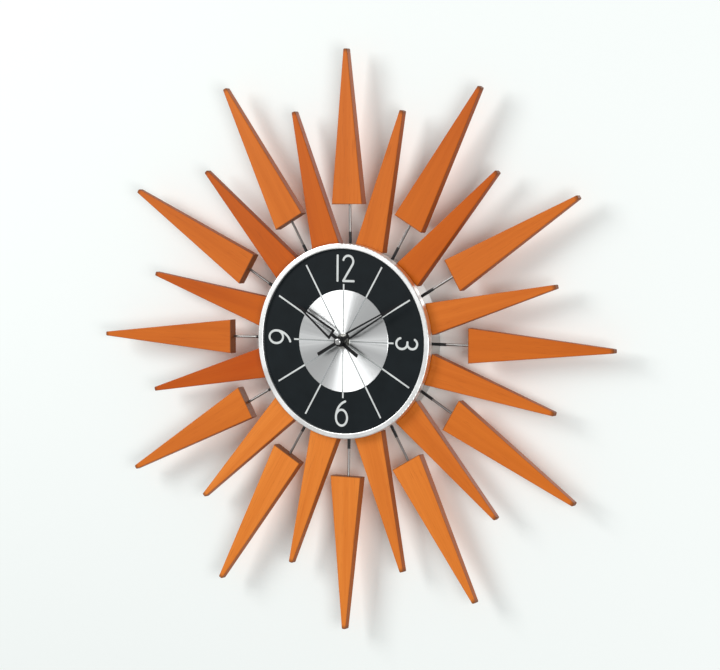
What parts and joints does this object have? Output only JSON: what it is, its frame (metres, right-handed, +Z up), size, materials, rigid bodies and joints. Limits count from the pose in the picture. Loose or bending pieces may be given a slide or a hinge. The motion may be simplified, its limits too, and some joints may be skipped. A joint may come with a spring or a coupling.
{
  "type": "sunburst wall clock",
  "caption": "Round wall clock with long and short tapered wooden rays on steel rods, a black and silver dial, skeleton hands and a geared quartz movement.",
  "frame": {"origin": "where the axis of the hands meets the wall, in the plane of the case's rear lip", "axes": "+X right and +Z up, towards 12, seen from the front; the dial faces -Y and +Y goes into the wall"},
  "size_m": [0.572, 0.045, 0.572],
  "materials": {
    "ray_wood": "orange-stained hardwood with fine grain, satin lacquer",
    "rod_steel": "polished steel rod",
    "ferrule_black": "black moulded sleeve",
    "plated_steel": "zinc-plated steel",
    "case_aluminium": "satin spun aluminium",
    "bezel_aluminium": "polished aluminium",
    "dial_black": "satin black paint",
    "disc_aluminium": "spun-brushed aluminium",
    "hand_black": "satin black paint",
    "cap_steel": "polished steel",
    "cover_black": "textured black paint",
    "gasket_rubber": "matt rubber",
    "brass": "turned brass",
    "movement_plastic": "moulded black plastic",
    "gear_plastic": "natural acetal",
    "motor_steel": "stamped soft iron",
    "magnet": "sintered magnet",
    "coil_copper": "enamelled copper winding",
    "board": "printed circuit board",
    "battery_wrap": "printed battery wrap, no lettering"
  },
  "bodies": {
    "case": {"long_ray_01": "ray_wood", "short_ray_01": "ray_wood", "long_ray_02": "ray_wood", "short_ray_02": "ray_wood", "long_ray_03": "ray_wood", "short_ray_03": "ray_wood", "long_ray_04": "ray_wood", "short_ray_04": "ray_wood", "long_ray_05": "ray_wood", "short_ray_05": "ray_wood", "long_ray_06": "ray_wood", "short_ray_06": "ray_wood", "long_ray_07": "ray_wood", "short_ray_07": "ray_wood", "long_ray_08": "ray_wood", "short_ray_08": "ray_wood", "long_ray_09": "ray_wood", "short_ray_09": "ray_wood", "long_ray_10": "ray_wood", "short_ray_10": "ray_wood", "long_ray_11": "ray_wood", "short_ray_11": "ray_wood", "long_ray_12": "ray_wood", "short_ray_12": "ray_wood", "ray_rods": "rod_steel", "rod_ferrules": "ferrule_black", "case_nuts": "plated_steel", "case_drum": "case_aluminium", "back_cover": "cover_black", "cover_screws": "plated_steel", "dial_plate": "dial_black", "centre_disc": "disc_aluminium", "bezel": "bezel_aluminium", "gasket": "gasket_rubber", "bushing": "plated_steel", "shaft_washer": "plated_steel", "shaft_nut": "plated_steel", "movement_case": "movement_plastic", "movement_cover": "movement_plastic", "train_bridge": "movement_plastic", "bridge_screws": "plated_steel", "stator": "motor_steel", "coil_core": "motor_steel", "coil": "coil_copper", "circuit_board": "board", "battery": "battery_wrap", "battery_contacts": "plated_steel"},
    "minute_arbor": {"minute_hand": "hand_black", "hand_cap": "cap_steel", "cannon_pinion": "brass", "centre_wheel": "brass"},
    "hour_pipe": {"hour_hand": "hand_black", "hour_wheel": "gear_plastic"},
    "motion_work": {"motion_wheel": "gear_plastic"},
    "third_arbor": {"third_wheel": "gear_plastic"},
    "seconds_arbor": {"seconds_wheel": "gear_plastic"},
    "intermediate_arbor": {"intermediate_wheel": "gear_plastic"},
    "rotor_arbor": {"rotor": "gear_plastic", "rotor_magnet": "magnet"},
    "knob": {"setting_knob": "movement_plastic"}
  },
  "joints": [
    {"name": "minute_turn", "type": "hinge", "parent": "case", "child": "minute_arbor", "pos_m": [0, -0.03, 0], "axis": [0, 1, 0], "continuous": true},
    {"name": "hour_turn", "type": "hinge", "parent": "case", "child": "hour_pipe", "pos_m": [0, -0.03, 0], "axis": [0, 1, 0], "continuous": true},
    {"name": "motion_turn", "type": "hinge", "parent": "case", "child": "motion_work", "pos_m": [0.0084, -0.026, 0], "axis": [0, 1, 0], "continuous": true},
    {"name": "third_turn", "type": "hinge", "parent": "case", "child": "third_arbor", "pos_m": [-0.00883, -0.022, 0.0051], "axis": [0, 1, 0], "continuous": true},
    {"name": "seconds_turn", "type": "hinge", "parent": "case", "child": "seconds_arbor", "pos_m": [0, -0.021, 0], "axis": [0, 1, 0], "continuous": true},
    {"name": "intermediate_turn", "type": "hinge", "parent": "case", "child": "intermediate_arbor", "pos_m": [0.00359, -0.019, 0.00987], "axis": [0, 1, 0], "continuous": true},
    {"name": "rotor_turn", "type": "hinge", "parent": "case", "child": "rotor_arbor", "pos_m": [0.00911, -0.02, 0.01449], "axis": [0, 1, 0], "continuous": true},
    {"name": "knob_turn", "type": "hinge", "parent": "case", "child": "knob", "pos_m": [0.01568, -0.02, -0.0042], "axis": [0, 1, 0], "continuous": true}
  ],
  "couplings": [
    {"joint": "hour_turn", "follows": "minute_turn", "ratio": 0.083333},
    {"joint": "motion_turn", "follows": "minute_turn", "ratio": -0.33333},
    {"joint": "knob_turn", "follows": "minute_turn", "ratio": 1},
    {"joint": "third_turn", "follows": "minute_turn", "ratio": -8},
    {"joint": "seconds_turn", "follows": "minute_turn", "ratio": 60},
    {"joint": "intermediate_turn", "follows": "minute_turn", "ratio": -360},
    {"joint": "rotor_turn", "follows": "minute_turn", "ratio": 1800}
  ]
}
